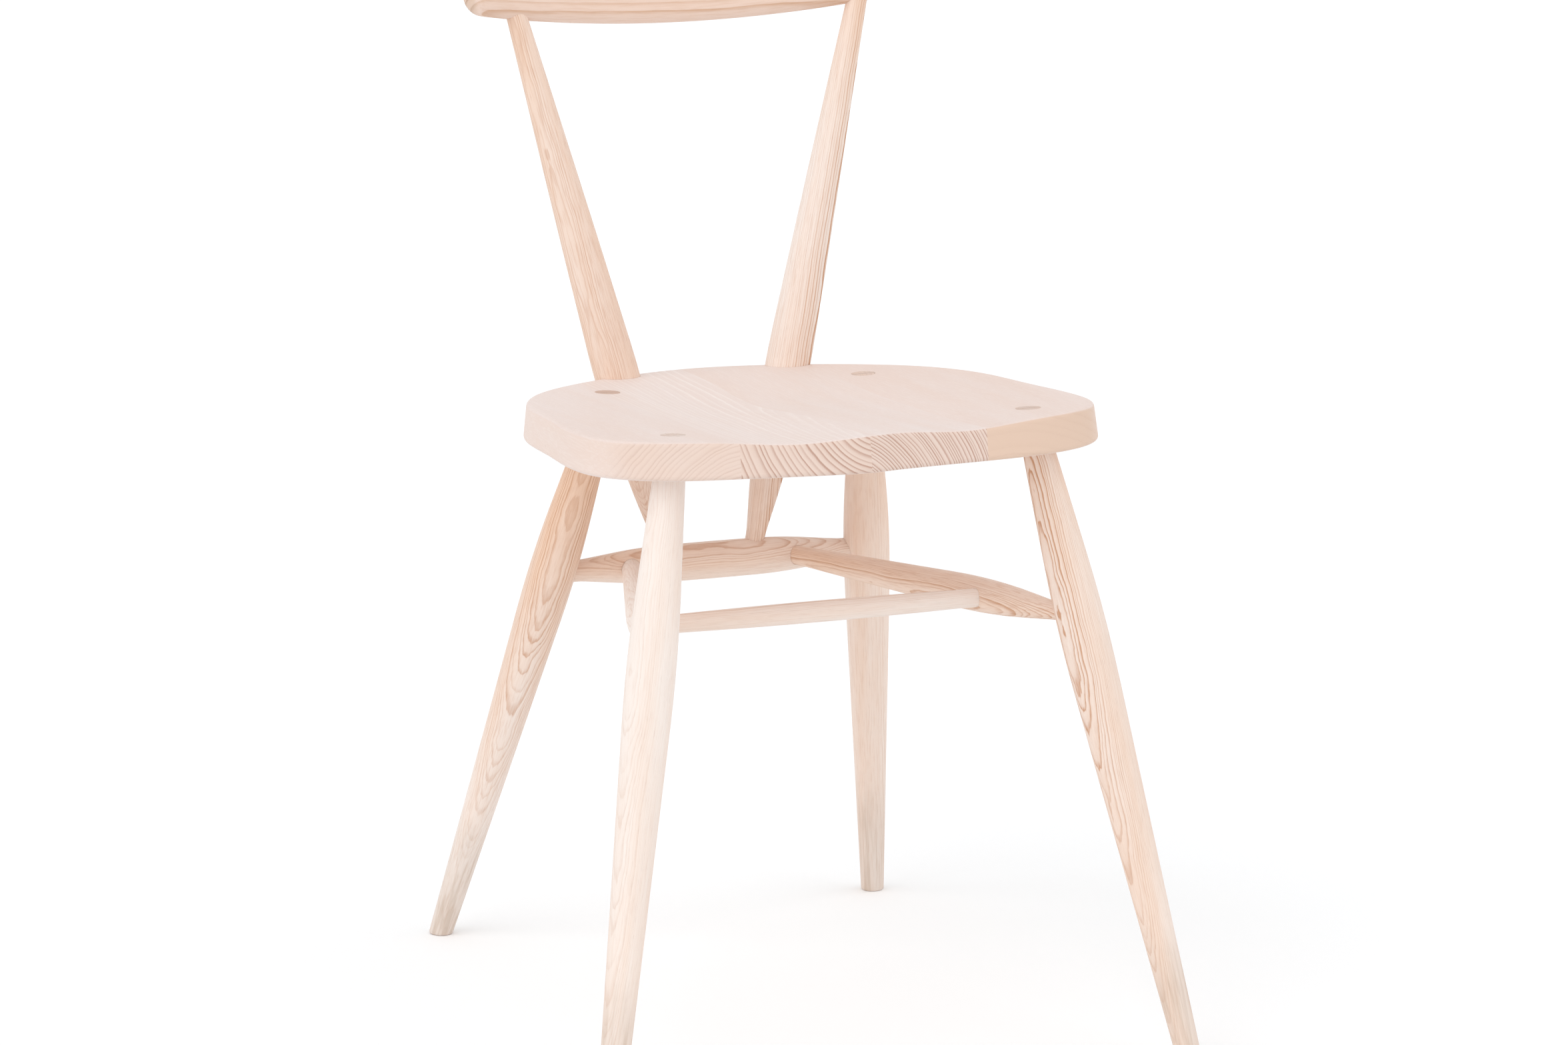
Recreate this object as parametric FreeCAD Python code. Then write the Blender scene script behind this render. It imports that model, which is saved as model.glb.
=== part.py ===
import FreeCAD, Part
import math
import os
from FreeCAD import Rotation, Vector

# A windsor dining chair: a saddled seat of four glued boards on four turned legs, a low
# frame of four stretchers, two tapered back sticks and a curved back rail.
# Millimetres. +Z is up, the sitter faces -Y, and +X is the chair's left-to-right axis as seen
# from its front left. The origin is on the floor, under the middle of the chair's box.

# Joints shared by all pieces
glue_gap = 0.1
mortise_end_gap = 0.5

# Seat
seat_front_height = 443.2
seat_tilt = 3.6
seat_thickness = 25.5
seat_edge_flare = 3.0
seat_top_rounding = 3.0
seat_bottom_rounding = 3.0

# Upper outline of the seat, right half, from the front edge to the rear edge
seat_front = (0.0, -212.0)
seat_front_run = (86.0, -201.0)
seat_front_corner = (141.0, -184.0)
seat_corner_side = (172.5, -151.5)
seat_widest = (180.5, -105.0)
seat_waist = (174.0, -32.0)
seat_rear_side = (166.5, 34.0)
seat_rear_corner = (143.5, 86.0)
seat_rear_run = (105.0, 122.0)
seat_stick_run = (56.0, 148.0)
seat_rear = (0.0, 160.0)

# Saddle: one wide bowl for the back of the seat and a hollow for each thigh
bowl_depth = 7.0
bowl_centre_y = 10.0
bowl_reach_x = 80.0
bowl_reach_y = 75.0
thigh_depth = 6.0
thigh_centre_x = 60.0
thigh_centre_y = -120.0
thigh_reach_x = 40.0
thigh_reach_y = 120.0

# Glue lines between the boards, from left to right
board_joint_left = -98.0
board_joint_middle = -12.8
board_joint_right = 73.8

# Legs: where each axis meets the floor and the plane of the seat's top
front_foot = (207.5, -244.0)
rear_foot = (167.5, 244.0)
front_leg_top = (126.0, -148.0)
rear_leg_top = (94.5, 75.0)
leg_foot_diameter = 16.6
leg_swell_diameter = 34.6
leg_neck_diameter = 21.4
leg_swell_height = 296.0
leg_swell_blend = 45.0
leg_tenon_diameter = 17.0
foot_rounding = 1.5
wedge_depth = 20.0
wedge_top_thickness = 3.0
wedge_tip_thickness = 0.8

# Stretchers
rear_stretcher_height = 286.7
rear_stretcher_end_diameter = 15.3
rear_stretcher_shoulder_x = 52.0
rear_stretcher_shoulder_diameter = 25.9
rear_stretcher_middle_diameter = 26.6
rear_stretcher_blend = 20.0
side_stretcher_front_height = 300.2
side_stretcher_rear_x = 59.5
side_stretcher_rear_diameter = 13.8
side_stretcher_swell_diameter = 26.0
side_stretcher_front_diameter = 11.4
side_stretcher_blend = 42.0
cross_stretcher_station = 226.0
cross_stretcher_end_diameter = 12.6
cross_stretcher_middle_diameter = 16.0
cross_stretcher_blend = 80.0
tenon_past_leg_axis = 3.5
tenon_past_stretcher_axis = 1.0
tenon_straight_outside = 4.0

# Back sticks
stick_foot_x = 30.8
stick_foot_diameter = 13.6
stick_lower_swell_height = 345.0
stick_lower_swell_diameter = 24.5
stick_seat_height = 410.0
stick_seat_diameter = 33.0
stick_upper_height = 535.0
stick_upper_diameter = 24.9
stick_top_diameter = 13.4
stick_lower_blend = 22.0
stick_seat_blend = 34.0
stick_upper_blend = 40.0
stick_tenon_diameter = 11.0
stick_tenon_length = 32.0

# Back rail
rail_bottom_height = 662.3
rail_y = 187.0
rail_lean = 6.2
rail_length = 332.0
rail_height = 98.0
rail_thickness = 22.0
rail_bend_radius = 520.0
rail_lower_crown = 13.8
rail_upper_crown = 15.0
rail_lower_corner_radius = 15.0
rail_upper_corner_radius = 26.0
rail_edge_rounding = 10.4
rail_stick_x = 125.9
rail_stick_forward = 2.0

# Screw and plug that hold each stick in its notch
screw_length = 38.0
screw_diameter = 4.5
screw_head_diameter = 8.4
screw_slot_width = 1.2
screw_slot_depth = 1.3
screw_point_length = 6.0
plug_diameter = 10.0
plug_length = 7.0

# Room that cutters and blanks are given beyond the surfaces they meet
spare = 15.0
seat_blank_spare = 2.0
near_zero = 0.1
seat_outline_stations = 36
saddle_grid_steps = 24

UP = Vector(0, 0, 1)
ACROSS = Vector(1, 0, 0)


def mirrored(point, side):
    """Put a point of the right half on the right (side 1) or the left (side -1)."""
    return Vector(side * point.x, point.y, point.z)


def along(start, end, distance):
    """Point on the line from start towards end, a distance from start."""
    return start + (end - start).normalize() * distance


def at_height(start, end, height):
    """Point of the line through start and end at a height above the floor."""
    share = (height - start.z) / (end.z - start.z)
    return start + (end - start) * share


def set_on_axis(shape, start, end):
    """Move a shape made along +Z from the origin onto the line from start to end."""
    placed = shape.copy()
    placed.Placement = FreeCAD.Placement(start, Rotation(UP, end - start))
    return placed


def rod(start, end, diameter):
    """Plain round bar from start to end."""
    length = (end - start).Length
    return set_on_axis(Part.makeCylinder(diameter / 2, length), start, end)


def turned(stations, blends):
    """Turned piece along +Z: straight tapers through stations of (distance, diameter),
    rounded at each inner station over its blend length on both sides."""
    corners = [Vector(diameter / 2, 0, distance) for distance, diameter in stations]
    edges = []
    last = corners[0]
    for corner, following, blend in zip(corners[1:-1], corners[2:], blends):
        before = along(corner, last, blend)
        after = along(corner, following, blend)
        swell = Part.BezierCurve()
        swell.setPoles([before, corner, after])
        edges.append(Part.makeLine(last, before))
        edges.append(swell.toShape())
        last = after
    edges.append(Part.makeLine(last, corners[-1]))
    bottom_centre = Vector(0, 0, corners[0].z)
    top_centre = Vector(0, 0, corners[-1].z)
    edges.append(Part.makeLine(corners[-1], top_centre))
    edges.append(Part.makeLine(top_centre, bottom_centre))
    edges.append(Part.makeLine(bottom_centre, corners[0]))
    return Part.Face(Part.Wire(edges)).revolve(Vector(0, 0, 0), UP, 360)


# Seat


def seat_placement():
    """Frame of the seat: its z = 0 plane is the plane of the top rim, lower at the rear."""
    height_at_origin = seat_front_height + seat_front[1] * math.tan(math.radians(seat_tilt))
    return FreeCAD.Placement(Vector(0, 0, height_at_origin), Rotation(ACROSS, -seat_tilt))


def seat_plane_point(point, depth=0.0):
    """Point of the seat's top plane, or of a plane that depth below it, over (x, y)."""
    frame = seat_placement()
    normal = frame.Rotation.multVec(UP)
    base = frame.Base - normal * depth
    drop = (point[1] - base.y) * normal.y / normal.z
    return Vector(point[0], point[1], base.z - drop)


def seat_outline(offset, height):
    """Closed outline of the seat, moved outward by offset, in a level plane at height."""
    right_half = [seat_front, seat_front_run, seat_front_corner, seat_corner_side, seat_widest,
                  seat_waist, seat_rear_side, seat_rear_corner, seat_rear_run, seat_stick_run,
                  seat_rear]
    left_half = [(-x, y) for x, y in reversed(right_half[1:-1])]
    curve = Part.BSplineCurve()
    curve.interpolate(Points=[Vector(x, y, 0) for x, y in right_half + left_half],
                      PeriodicFlag=True)
    first, last = curve.FirstParameter, curve.LastParameter
    points = []
    for station in range(seat_outline_stations):
        at = first + (last - first) * station / seat_outline_stations
        tangent = curve.tangent(at)[0]
        outward = Vector(tangent.y, -tangent.x, 0)
        points.append(curve.value(at) + outward * offset + UP * height)
    moved = Part.BSplineCurve()
    moved.interpolate(Points=points, PeriodicFlag=True)
    return Part.Wire([moved.toShape()])


def saddle_depth(x, y):
    """How far the saddled top lies below the plane of the rim."""
    bowl = math.exp(-(x / bowl_reach_x) ** 2 - ((y - bowl_centre_y) / bowl_reach_y) ** 2)
    length_fade = math.exp(-((y - thigh_centre_y) / thigh_reach_y) ** 2)
    thighs = 0.0
    for side in (-1, 1):
        thighs += math.exp(-((x - side * thigh_centre_x) / thigh_reach_x) ** 2) * length_fade
    return bowl_depth * bowl + thigh_depth * thighs


def saddle_cutter():
    """Everything above the saddled surface."""
    half_width = seat_widest[0] + spare
    front = seat_front[1] - spare
    rear = seat_rear[1] + spare
    grid = []
    for column in range(saddle_grid_steps + 1):
        x = -half_width + 2 * half_width * column / saddle_grid_steps
        line = []
        for row in range(saddle_grid_steps + 1):
            y = front + (rear - front) * row / saddle_grid_steps
            line.append(Vector(x, y, -saddle_depth(x, y)))
        grid.append(line)
    surface = Part.BSplineSurface()
    surface.interpolate(grid)
    return surface.toShape().extrude(UP * (spare + seat_blank_spare))


def make_seat_blank():
    """Whole seat before it is cut into boards and drilled, in its place on the chair."""
    flare_per_depth = seat_edge_flare / seat_thickness
    top = seat_outline(-flare_per_depth * seat_blank_spare, seat_blank_spare)
    bottom = seat_outline(seat_edge_flare, -seat_thickness)
    blank = Part.makeLoft([bottom, top], True, True)
    seat = blank.cut(saddle_cutter())
    for upper, rounding in ((False, seat_bottom_rounding), (True, seat_top_rounding)):
        rim = [edge for edge in seat.Edges if edge.Length > seat_widest[0]
               and (edge.BoundBox.ZMin > -seat_thickness / 2) == upper]
        seat = seat.makeFillet(rounding, rim)
    seat.Placement = seat_placement()
    return seat


def make_seat_boards(blank, cutters):
    """The four boards between the glue lines, with every hole and notch."""
    box = blank.BoundBox
    edges = [box.XMin - spare, board_joint_left, board_joint_middle, board_joint_right,
             box.XMax + spare]
    names = ["seat_board_left", "seat_board_centre_left", "seat_board_centre_right",
             "seat_board_right"]
    boards = {}
    for name, left, right in zip(names, edges[:-1], edges[1:]):
        slab = Part.makeBox(right - left, box.YLength + 2 * spare, box.ZLength + 2 * spare,
                            Vector(left, box.YMin - spare, box.ZMin - spare))
        board = blank.common(slab)
        for cutter in cutters:
            board = board.cut(cutter)
        boards[name] = board
    return boards


# Axes of the turned pieces


def leg_axis(foot, top, side):
    """Ends of a leg's axis: on the floor and on the plane of the seat's top."""
    floor_point = Vector(side * foot[0], foot[1], 0)
    top_point = seat_plane_point(top)
    return floor_point, mirrored(top_point, side)


def rear_stretcher_end(side):
    """Where the rear stretcher's axis meets a rear leg's axis."""
    floor_point, top_point = leg_axis(rear_foot, rear_leg_top, side)
    return at_height(floor_point, top_point, rear_stretcher_height)


def side_stretcher_axis(side):
    """From the rear stretcher's axis to the front leg's axis."""
    rear = rear_stretcher_end(side)
    rear.x = side * side_stretcher_rear_x
    floor_point, top_point = leg_axis(front_foot, front_leg_top, side)
    front = at_height(floor_point, top_point, side_stretcher_front_height)
    return rear, front


def cross_stretcher_end(side):
    """Where the cross stretcher's axis meets a side stretcher's axis: a distance along it
    from the rear stretcher."""
    rear, front = side_stretcher_axis(side)
    return along(rear, front, cross_stretcher_station)


def stick_axis(side):
    """From the rear stretcher's axis to the underside of the back rail."""
    foot = rear_stretcher_end(side)
    foot.x = side * stick_foot_x
    forward = rail_bend_y(rail_stick_x) - rail_stick_forward
    local = Vector(rail_stick_x, forward, rail_lower_edge(rail_stick_x))
    return foot, mirrored(rail_placement().multVec(local), side)


# Back rail


def rail_placement():
    """Frame of the rail: origin at the bottom middle of its bend, leaning back."""
    return FreeCAD.Placement(Vector(0, rail_y, rail_bottom_height), Rotation(ACROSS, -rail_lean))


def rail_bend_y(x):
    """How far the middle of the rail's thickness lies forward at x."""
    return math.sqrt(rail_bend_radius ** 2 - x ** 2) - rail_bend_radius


def crown_radius(crown):
    """Radius of the arc that rises by crown over half the rail's length."""
    half = rail_length / 2
    return (half ** 2 + crown ** 2) / (2 * crown)


def rail_lower_edge(x):
    """Height of the rail's lower edge at x above its middle."""
    radius = crown_radius(rail_lower_crown)
    return radius - math.sqrt(radius ** 2 - x ** 2)


def make_rail_blank():
    """The rail before its mortises: its front outline cut through a bent slab."""
    half = rail_length / 2
    low_left = Vector(-half, 0, rail_lower_crown)
    low_right = Vector(half, 0, rail_lower_crown)
    high_left = Vector(-half, 0, rail_height - rail_upper_crown)
    high_right = Vector(half, 0, rail_height - rail_upper_crown)
    outline = Part.Wire([
        Part.Arc(low_left, Vector(0, 0, 0), low_right).toShape(),
        Part.makeLine(low_right, high_right),
        Part.Arc(high_right, Vector(0, 0, rail_height), high_left).toShape(),
        Part.makeLine(high_left, low_left)])
    depth = rail_thickness + 2 * spare - rail_bend_y(half)
    plate = Part.Face(outline).extrude(Vector(0, depth, 0))
    plate.translate(Vector(0, rail_bend_y(half) - rail_thickness / 2 - spare, 0))
    middle = rail_height / 2
    for low, radius in ((True, rail_lower_corner_radius), (False, rail_upper_corner_radius)):
        corners = [edge for edge in plate.Edges
                   if edge.BoundBox.YLength > depth / 2 and edge.BoundBox.XLength < near_zero
                   and (edge.CenterOfMass.z < middle) == low]
        plate = plate.makeFillet(radius, corners)
    centre = Vector(0, -rail_bend_radius, -spare)
    height = rail_height + 2 * spare
    outer = Part.makeCylinder(rail_bend_radius + rail_thickness / 2, height, centre)
    inner = Part.makeCylinder(rail_bend_radius - rail_thickness / 2, height, centre)
    rail = plate.common(outer.cut(inner))
    rims = [edge for edge in rail.Edges if edge.BoundBox.DiagonalLength > near_zero
            and not is_across_thickness(edge)]
    rail = rail.makeFillet(rail_edge_rounding, rims)
    rail.Placement = rail_placement()
    return rail


def is_across_thickness(edge):
    """True for the short seams that run from the rail's front face to its back face."""
    return edge.Length < rail_thickness * 1.3 and edge.BoundBox.YLength > rail_thickness * 0.8


# Turned pieces


def make_leg(foot, top, side, seat_blank):
    """A leg, its tenon trimmed flush with the seat, and the wedge in the tenon."""
    floor_point, top_point = leg_axis(foot, top, side)
    length = (top_point - floor_point).Length
    slope = length / top_point.z
    swell = leg_swell_height * slope
    underside = seat_plane_point(top, seat_thickness)
    neck = underside.z * slope
    lower_taper = (leg_swell_diameter - leg_foot_diameter) / swell
    upper_taper = (leg_neck_diameter - leg_swell_diameter) / (neck - swell)
    stations = [(-spare, leg_foot_diameter - lower_taper * spare),
                (swell, leg_swell_diameter),
                (neck + spare, leg_neck_diameter + upper_taper * spare)]
    body = set_on_axis(turned(stations, [leg_swell_blend]), floor_point, top_point)
    body = body.cut(floor_block())
    foot_rim = [edge for edge in body.Edges if edge.BoundBox.ZMax < near_zero]
    body = body.makeFillet(foot_rounding, foot_rim)
    body = body.cut(above_underside())
    tenon_start = along(top_point, floor_point, seat_thickness + spare)
    tenon_end = along(top_point, floor_point, -spare)
    tenon = rod(tenon_start, tenon_end, leg_tenon_diameter).common(seat_blank)
    wedge_shape = set_on_axis(wedge_prism(), along(top_point, floor_point, wedge_depth), top_point)
    wedge = tenon.common(wedge_shape)
    leg = body.fuse(tenon.cut(wedge_shape)).removeSplitter()
    return leg, wedge


def wedge_prism():
    """A wedge along +Z with its tip at the origin, longer than the tenon is wide."""
    rise = wedge_depth + spare
    growth = (wedge_top_thickness - wedge_tip_thickness) / wedge_depth
    tip = wedge_tip_thickness / 2
    head = tip + growth * rise / 2
    half_length = leg_tenon_diameter
    corners = [Vector(-half_length, -tip, 0), Vector(-half_length, tip, 0),
               Vector(-half_length, head, rise), Vector(-half_length, -head, rise)]
    section = Part.Face(Part.makePolygon(corners + corners[:1]))
    return section.extrude(ACROSS * 2 * half_length)


def floor_block():
    """Everything under the floor, as far as the chair reaches."""
    reach = 2 * front_foot[0]
    return Part.makeBox(2 * reach, 2 * reach, 2 * spare, Vector(-reach, -reach, -2 * spare))


def above_underside():
    """Everything above the plane of the seat's underside, as far as the chair reaches."""
    reach = 2 * front_foot[0]
    block = Part.makeBox(2 * reach, 2 * reach, 4 * spare, Vector(-reach, -reach, -seat_thickness))
    block.Placement = seat_placement()
    return block


def make_rear_stretcher():
    """Rear stretcher with straight ends that run into the rear legs."""
    left = along(rear_stretcher_end(-1), rear_stretcher_end(1), -tenon_past_leg_axis)
    right = along(rear_stretcher_end(1), rear_stretcher_end(-1), -tenon_past_leg_axis)
    length = (right - left).Length
    end = tenon_past_leg_axis + leg_swell_diameter / 2 + tenon_straight_outside
    middle = length / 2
    stations = [(0, rear_stretcher_end_diameter), (end, rear_stretcher_end_diameter),
                (middle - rear_stretcher_shoulder_x, rear_stretcher_shoulder_diameter),
                (middle, rear_stretcher_middle_diameter),
                (middle + rear_stretcher_shoulder_x, rear_stretcher_shoulder_diameter),
                (length - end, rear_stretcher_end_diameter),
                (length, rear_stretcher_end_diameter)]
    blends = [tenon_straight_outside, rear_stretcher_blend, rear_stretcher_blend,
              rear_stretcher_blend, tenon_straight_outside]
    return set_on_axis(turned(stations, blends), left, right)


def make_side_stretcher(side):
    """Side stretcher, swollen where the cross stretcher meets it."""
    rear_axis, front_axis = side_stretcher_axis(side)
    rear = along(rear_axis, front_axis, -tenon_past_stretcher_axis)
    front = along(front_axis, rear_axis, -tenon_past_leg_axis)
    length = (front - rear).Length
    rear_end = (tenon_past_stretcher_axis + rear_stretcher_middle_diameter / 2
                + tenon_straight_outside)
    front_end = tenon_past_leg_axis + leg_swell_diameter / 2 + tenon_straight_outside
    swell = (cross_stretcher_end(side) - rear).Length
    stations = [(0, side_stretcher_rear_diameter), (rear_end, side_stretcher_rear_diameter),
                (swell, side_stretcher_swell_diameter),
                (length - front_end, side_stretcher_front_diameter),
                (length, side_stretcher_front_diameter)]
    blends = [tenon_straight_outside, side_stretcher_blend, tenon_straight_outside]
    return set_on_axis(turned(stations, blends), rear, front)


def make_cross_stretcher():
    """Thin stretcher between the swells of the side stretchers."""
    left = along(cross_stretcher_end(-1), cross_stretcher_end(1), -tenon_past_stretcher_axis)
    right = along(cross_stretcher_end(1), cross_stretcher_end(-1), -tenon_past_stretcher_axis)
    length = (right - left).Length
    end = (tenon_past_stretcher_axis + side_stretcher_swell_diameter / 2
           + tenon_straight_outside)
    stations = [(0, cross_stretcher_end_diameter), (end, cross_stretcher_end_diameter),
                (length / 2, cross_stretcher_middle_diameter),
                (length - end, cross_stretcher_end_diameter),
                (length, cross_stretcher_end_diameter)]
    blends = [tenon_straight_outside, cross_stretcher_blend, tenon_straight_outside]
    return set_on_axis(turned(stations, blends), left, right)


def make_stick_body(side, extra=0.0):
    """A back stick's turned body, grown by extra all round, up into the rail."""
    foot, head = stick_axis(side)
    slope = (head - foot).Length / (head.z - foot.z)
    foot_end = rear_stretcher_middle_diameter / 2 + tenon_straight_outside
    stations = [(-tenon_past_stretcher_axis, stick_foot_diameter),
                (foot_end, stick_foot_diameter),
                ((stick_lower_swell_height - foot.z) * slope, stick_lower_swell_diameter),
                ((stick_seat_height - foot.z) * slope, stick_seat_diameter),
                ((stick_upper_height - foot.z) * slope, stick_upper_diameter),
                ((head.z - foot.z) * slope + spare, stick_top_diameter)]
    grown = [(distance, diameter + 2 * extra) for distance, diameter in stations]
    blends = [tenon_straight_outside, stick_lower_blend, stick_seat_blend, stick_upper_blend]
    return set_on_axis(turned(grown, blends), foot, head)


def stick_tenon_axis(side):
    """Ends of a stick's upper tenon: below the rail and inside it."""
    foot, head = stick_axis(side)
    return along(head, foot, spare / 2), along(head, foot, -stick_tenon_length)


def make_stick(side, rail_blank):
    """A back stick: scribed to the rail's underside, with a thinner tenon inside the rail."""
    start, end = stick_tenon_axis(side)
    body = make_stick_body(side).cut(rail_blank)
    return body.fuse(rod(start, end, stick_tenon_diameter)).removeSplitter()


# Screws and plugs


def screw_frame(side):
    """Frame at the middle of a stick in the seat's thickness: +Z points backwards and out."""
    foot, head = stick_axis(side)
    backward = seat_placement().Rotation.multVec(Vector(0, 1, 0))
    centre = at_height(foot, head, stick_seat_height)
    edge_middle = seat_plane_point((centre.x, centre.y), seat_thickness / 2)
    centre = at_height(foot, head, edge_middle.z)
    return FreeCAD.Placement(centre, Rotation(UP, backward))


def screw_head_height():
    """Distance from the stick's axis to the screw head's face, under the plug."""
    return stick_seat_diameter / 2 - plug_length


def make_screw(side):
    """Countersunk wood screw with a straight slot."""
    top = screw_head_height()
    head_depth = (screw_head_diameter - screw_diameter) / 2
    stations = [Vector(0, 0, top - screw_length),
                Vector(screw_diameter / 2, 0, top - screw_length + screw_point_length),
                Vector(screw_diameter / 2, 0, top - head_depth),
                Vector(screw_head_diameter / 2, 0, top),
                Vector(0, 0, top)]
    outline = Part.Face(Part.makePolygon(stations + stations[:1]))
    screw = outline.revolve(Vector(0, 0, 0), UP, 360)
    slot = Part.makeBox(screw_head_diameter * 2, screw_slot_width, screw_slot_depth,
                        Vector(-screw_head_diameter, -screw_slot_width / 2,
                               top - screw_slot_depth))
    screw = screw.cut(slot)
    screw.Placement = screw_frame(side)
    return screw


def make_screw_hole(side):
    """The space that a screw takes, without its slot."""
    top = screw_head_height()
    head_depth = (screw_head_diameter - screw_diameter) / 2
    radius = screw_diameter / 2 + glue_gap
    shank = Part.makeCylinder(radius, screw_length, Vector(0, 0, top - screw_length))
    sink = Part.makeCone(radius, screw_head_diameter / 2 + glue_gap, head_depth,
                         Vector(0, 0, top - head_depth))
    hole = shank.fuse(sink)
    hole.Placement = screw_frame(side)
    return hole


def plug_rod(side, extra):
    """Round bar over the screw head, from its face out past the stick, grown by extra."""
    bar = Part.makeCylinder(plug_diameter / 2 + extra, stick_seat_diameter,
                            Vector(0, 0, screw_head_height()))
    bar.Placement = screw_frame(side)
    return bar


# Assembly


def main():
    os.makedirs("parts", exist_ok=True)
    seat_blank = make_seat_blank()
    rail_blank = make_rail_blank()
    nodes = {}
    leg_corners = {"front": (front_foot, front_leg_top), "rear": (rear_foot, rear_leg_top)}
    sides = {"left": -1, "right": 1}

    rear_stretcher = make_rear_stretcher()
    cross_stretcher = make_cross_stretcher()
    rail = rail_blank
    seat_cutters = []
    screws = []
    plugs = []

    for side_name, side in sides.items():
        side_stretcher = make_side_stretcher(side)
        side_axis = side_stretcher_axis(side)
        rear_stretcher = rear_stretcher.cut(
            mortise(side_axis[1], side_axis[0], side_stretcher_rear_diameter,
                    tenon_past_stretcher_axis))
        side_stretcher = side_stretcher.cut(
            mortise(Vector(0, *cross_stretcher_end(side)[1:]), cross_stretcher_end(side),
                    cross_stretcher_end_diameter, tenon_past_stretcher_axis))
        nodes["side_stretcher_" + side_name] = side_stretcher

        for end_name, (foot, top) in leg_corners.items():
            leg, wedge = make_leg(foot, top, side, seat_blank)
            if end_name == "rear":
                leg = leg.cut(mortise(rear_stretcher_end(-side), rear_stretcher_end(side),
                                      rear_stretcher_end_diameter, tenon_past_leg_axis))
            else:
                leg = leg.cut(mortise(side_axis[0], side_axis[1],
                                      side_stretcher_front_diameter, tenon_past_leg_axis))
            nodes["leg_" + end_name + "_" + side_name] = leg
            nodes["wedge_" + end_name + "_" + side_name] = wedge
            floor_point, top_point = leg_axis(foot, top, side)
            seat_cutters.append(rod(along(top_point, floor_point, seat_thickness + spare),
                                    along(top_point, floor_point, -spare),
                                    leg_tenon_diameter + 2 * glue_gap))

        stick = make_stick(side, rail_blank)
        foot, head = stick_axis(side)
        rear_stretcher = rear_stretcher.cut(
            mortise(head, foot, stick_foot_diameter, tenon_past_stretcher_axis))
        start, end = stick_tenon_axis(side)
        rail = rail.cut(rod(start, along(end, start, -mortise_end_gap),
                            stick_tenon_diameter + 2 * glue_gap))
        plug = plug_rod(side, 0).common(stick)
        stick = stick.cut(plug_rod(side, glue_gap)).cut(make_screw_hole(side))
        nodes["back_stick_" + side_name] = stick
        seat_cutters.append(make_stick_body(side, glue_gap))
        seat_cutters.append(make_screw_hole(side))
        plugs.append(plug)
        screws.append(make_screw(side))

    nodes["rear_stretcher"] = rear_stretcher
    nodes["cross_stretcher"] = cross_stretcher
    nodes["back_rail"] = rail
    nodes["stick_screws"] = Part.makeCompound(screws)
    nodes["screw_plugs"] = Part.makeCompound(plugs)
    nodes.update(make_seat_boards(seat_blank, seat_cutters))

    for name, shape in nodes.items():
        shape.exportStep("parts/" + name + ".step")
        print(name, len(shape.Solids), round(shape.Volume), shape.isValid())


def mortise(outside, axis_point, diameter, past_axis):
    """Blind round hole from outside to a little beyond a tenon that ends past_axis past
    axis_point. Between outside and the piece it meets only air."""
    bottom = along(axis_point, outside, -past_axis - mortise_end_gap)
    return rod(outside, bottom, diameter + 2 * glue_gap)


main()
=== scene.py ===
"""Windsor dining chair in pale matt ash: its wood, fixings, floor, lights and camera.

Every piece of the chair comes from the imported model, in metres, +Z up, the sitter facing -Y.
"""

import math
from typing import NamedTuple

import bpy
from mathutils import Matrix, Vector


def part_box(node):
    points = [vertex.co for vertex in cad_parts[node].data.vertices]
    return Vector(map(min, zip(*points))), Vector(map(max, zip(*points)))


bl_info = {
    "name": "Windsor Chair",
    "version": (1, 0, 0),
    "blender": (4, 5, 0),
    "location": "3D View > Sidebar > Windsor Chair",
    "description": "Finishes a windsor dining chair in matt ash and sets it on a pale floor",
    "category": "Object",
}

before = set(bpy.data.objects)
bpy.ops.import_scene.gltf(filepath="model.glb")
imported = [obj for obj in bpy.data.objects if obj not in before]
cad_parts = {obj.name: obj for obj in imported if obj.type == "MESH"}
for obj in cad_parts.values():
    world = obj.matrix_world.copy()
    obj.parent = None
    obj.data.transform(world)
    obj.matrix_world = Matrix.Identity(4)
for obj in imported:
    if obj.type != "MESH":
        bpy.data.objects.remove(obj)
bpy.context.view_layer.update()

UP = Vector((0, 0, 1))
BACK = Vector((0, 1, 0))
ACROSS = Vector((1, 0, 0))
WHITE = (1.0, 1.0, 1.0, 1.0)
BLACK = (0.0, 0.0, 0.0, 1.0)


class Log(NamedTuple):
    """How a piece was cut from its log."""
    bark: tuple               # direction from the pith to the bark, in the chair's frame
    pith: float               # distance from the pith to the middle of the piece
    ring: float               # width of a year ring
    strength: float           # how strongly the rings show along the grain
    warmth: float             # from the palest wood, 0, to the warmest, 1
    fade: float = 0.0         # how much warmer the wood gets per metre up or back
    # Warmth away from the middle is painted shade where a piece runs below the seat, as on the
    # right back stick
    ends: float = 0.0         # how much warmer it gets per square metre from its middle
    ring_fade: float = 0.0    # how much stronger the rings get per metre up or back
    inner: float = 0.25       # how strongly the rings show away from the bark
    lean: float = 0.0         # how far the grain runs out towards the bark, per metre
    wander: float = 1.0       # how much the fibres sway along the log
    streaks: float = 1.0      # how strongly single bundles of fibres show
    cut: float = 0.6          # how dark the finish makes the cut ends
    cut_rings: float = 0.8    # how strongly the rings show on the cut ends


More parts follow.
